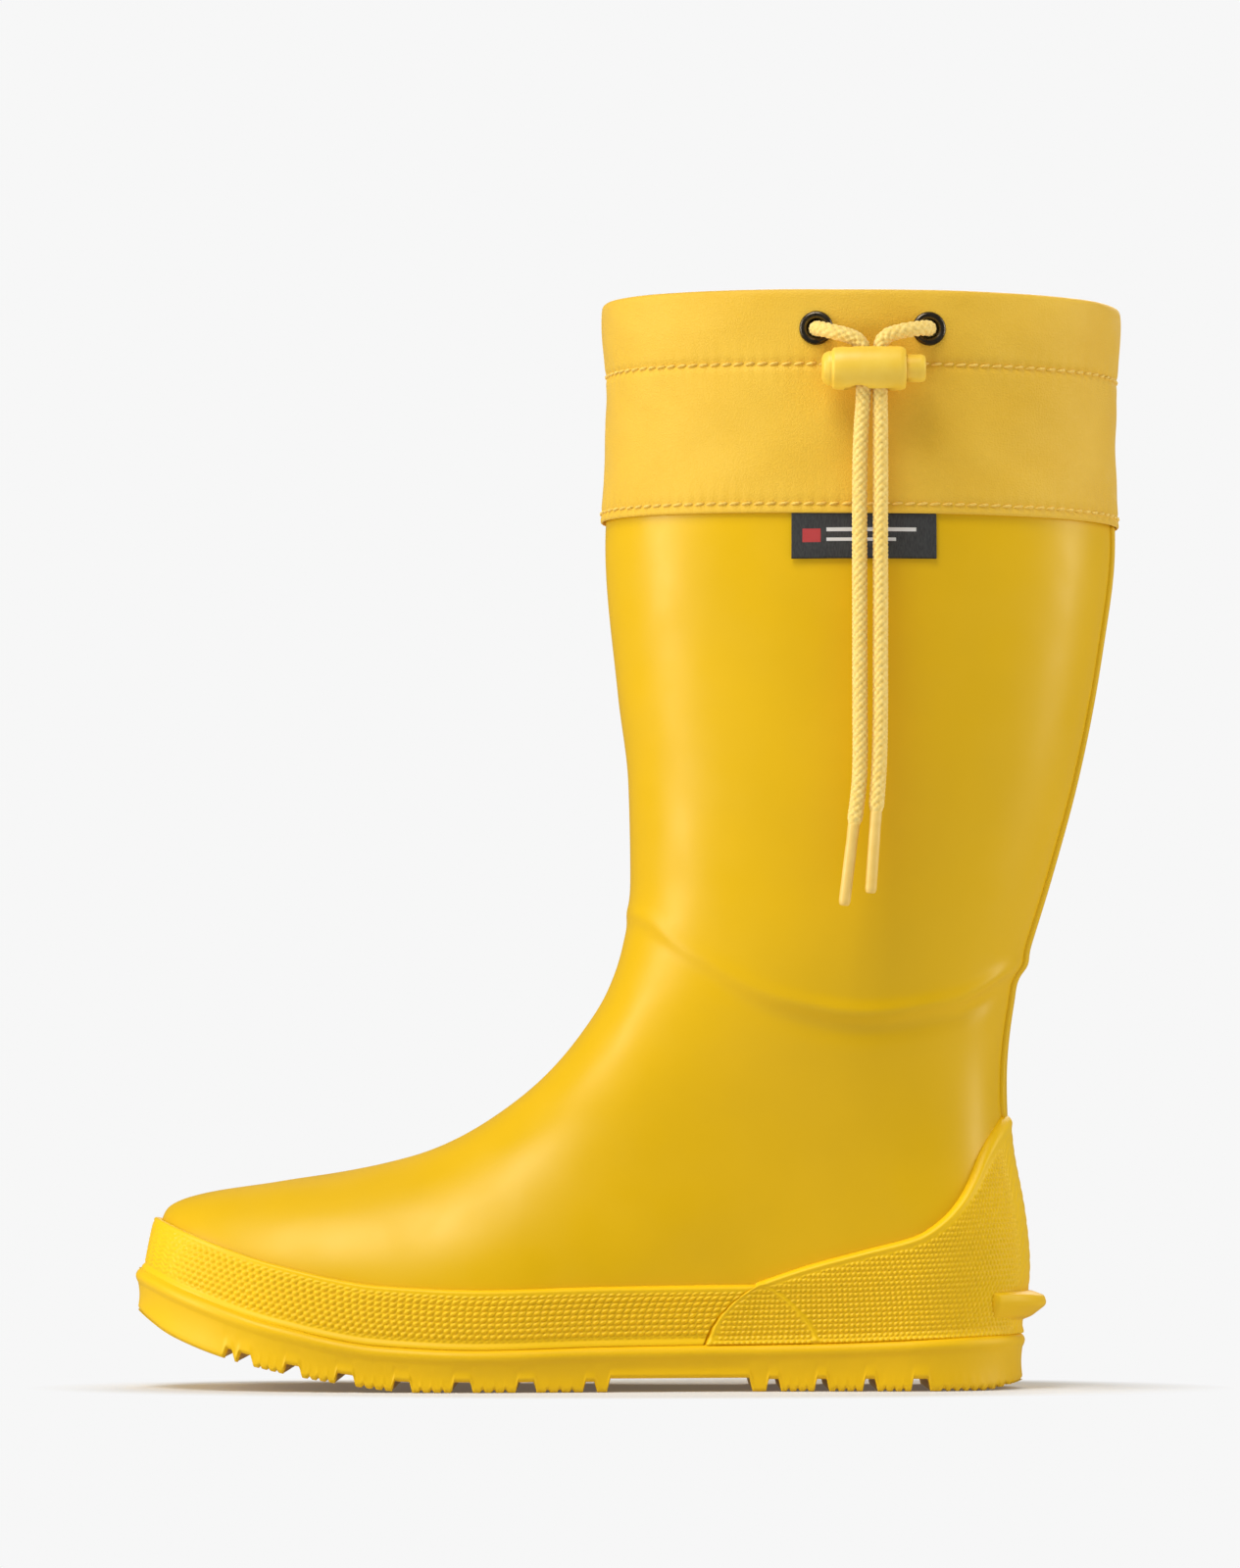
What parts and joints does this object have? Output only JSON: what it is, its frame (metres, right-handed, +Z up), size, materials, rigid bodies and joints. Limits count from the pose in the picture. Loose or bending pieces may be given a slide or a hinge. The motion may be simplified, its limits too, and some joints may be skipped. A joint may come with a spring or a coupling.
{
  "type": "deck boot",
  "caption": "Calf-high rubber deck boot for the left foot, with a lugged sole, heel counter and a soft collar closed by a drawstring and a spring cord lock.",
  "frame": {"origin": "on the ground, under the middle of the boot's own box, without the drawstring's free ends and the lock on them", "axes": "+Z up the leg, +X towards the heel, -X towards the toe, -Y towards the outer side of the leg, where the cord lock hangs"},
  "size_m": [0.3162, 0.1213, 0.3463],
  "materials": {
    "shaft_rubber": "satin moulded rubber",
    "sole_rubber": "matt moulded rubber",
    "textured_rubber": "matt rubber moulded with small pebbles",
    "collar_cloth": "grained coated cloth",
    "lining_knit": "brushed knit",
    "insole_foam": "cloth-covered foam",
    "insole_board": "pressed fibre board",
    "thread": "twisted polyester thread",
    "gunmetal": "dark plated metal",
    "cord": "round braid",
    "cord_tip": "heat-shrunk film",
    "lock_plastic": "fine matt moulding",
    "spring_steel": "bright wire",
    "label_weave": "satin weave"
  },
  "bodies": {
    "boot": {"outsole": "sole_rubber", "upper_shell": "shaft_rubber", "lining": "lining_knit", "insole_board": "insole_board", "insole": "insole_foam", "foxing_band": "textured_rubber", "heel_counter": "textured_rubber", "kick_spur": "sole_rubber", "back_stay": "shaft_rubber", "collar": "collar_cloth", "channel_stitching": "thread", "hem_stitching": "thread", "front_eyelet": "gunmetal", "rear_eyelet": "gunmetal", "front_eyelet_washer": "gunmetal", "rear_eyelet_washer": "gunmetal", "drawstring_channel_run": "cord", "woven_label": "label_weave", "drawstring_front_end": "cord", "drawstring_rear_end": "cord", "front_cord_tip": "cord_tip", "rear_cord_tip": "cord_tip"},
    "cord_lock": {"lock_barrel": "lock_plastic", "lock_spring": "spring_steel"},
    "lock_plunger": {"lock_button": "lock_plastic"}
  },
  "joints": [
    {"name": "cord_lock_slide", "type": "slide", "parent": "boot", "child": "cord_lock", "axis": [0, 0, -1], "range_m": [0, 0.12], "deforming": ["drawstring_front_end", "drawstring_rear_end"]},
    {"name": "lock_button_press", "type": "slide", "parent": "cord_lock", "child": "lock_plunger", "axis": [-1, 0, 0], "range_m": [0, 0.003], "stiffness_N_per_m": 600, "springref_m": -0.004, "deforming": ["lock_spring"]}
  ]
}
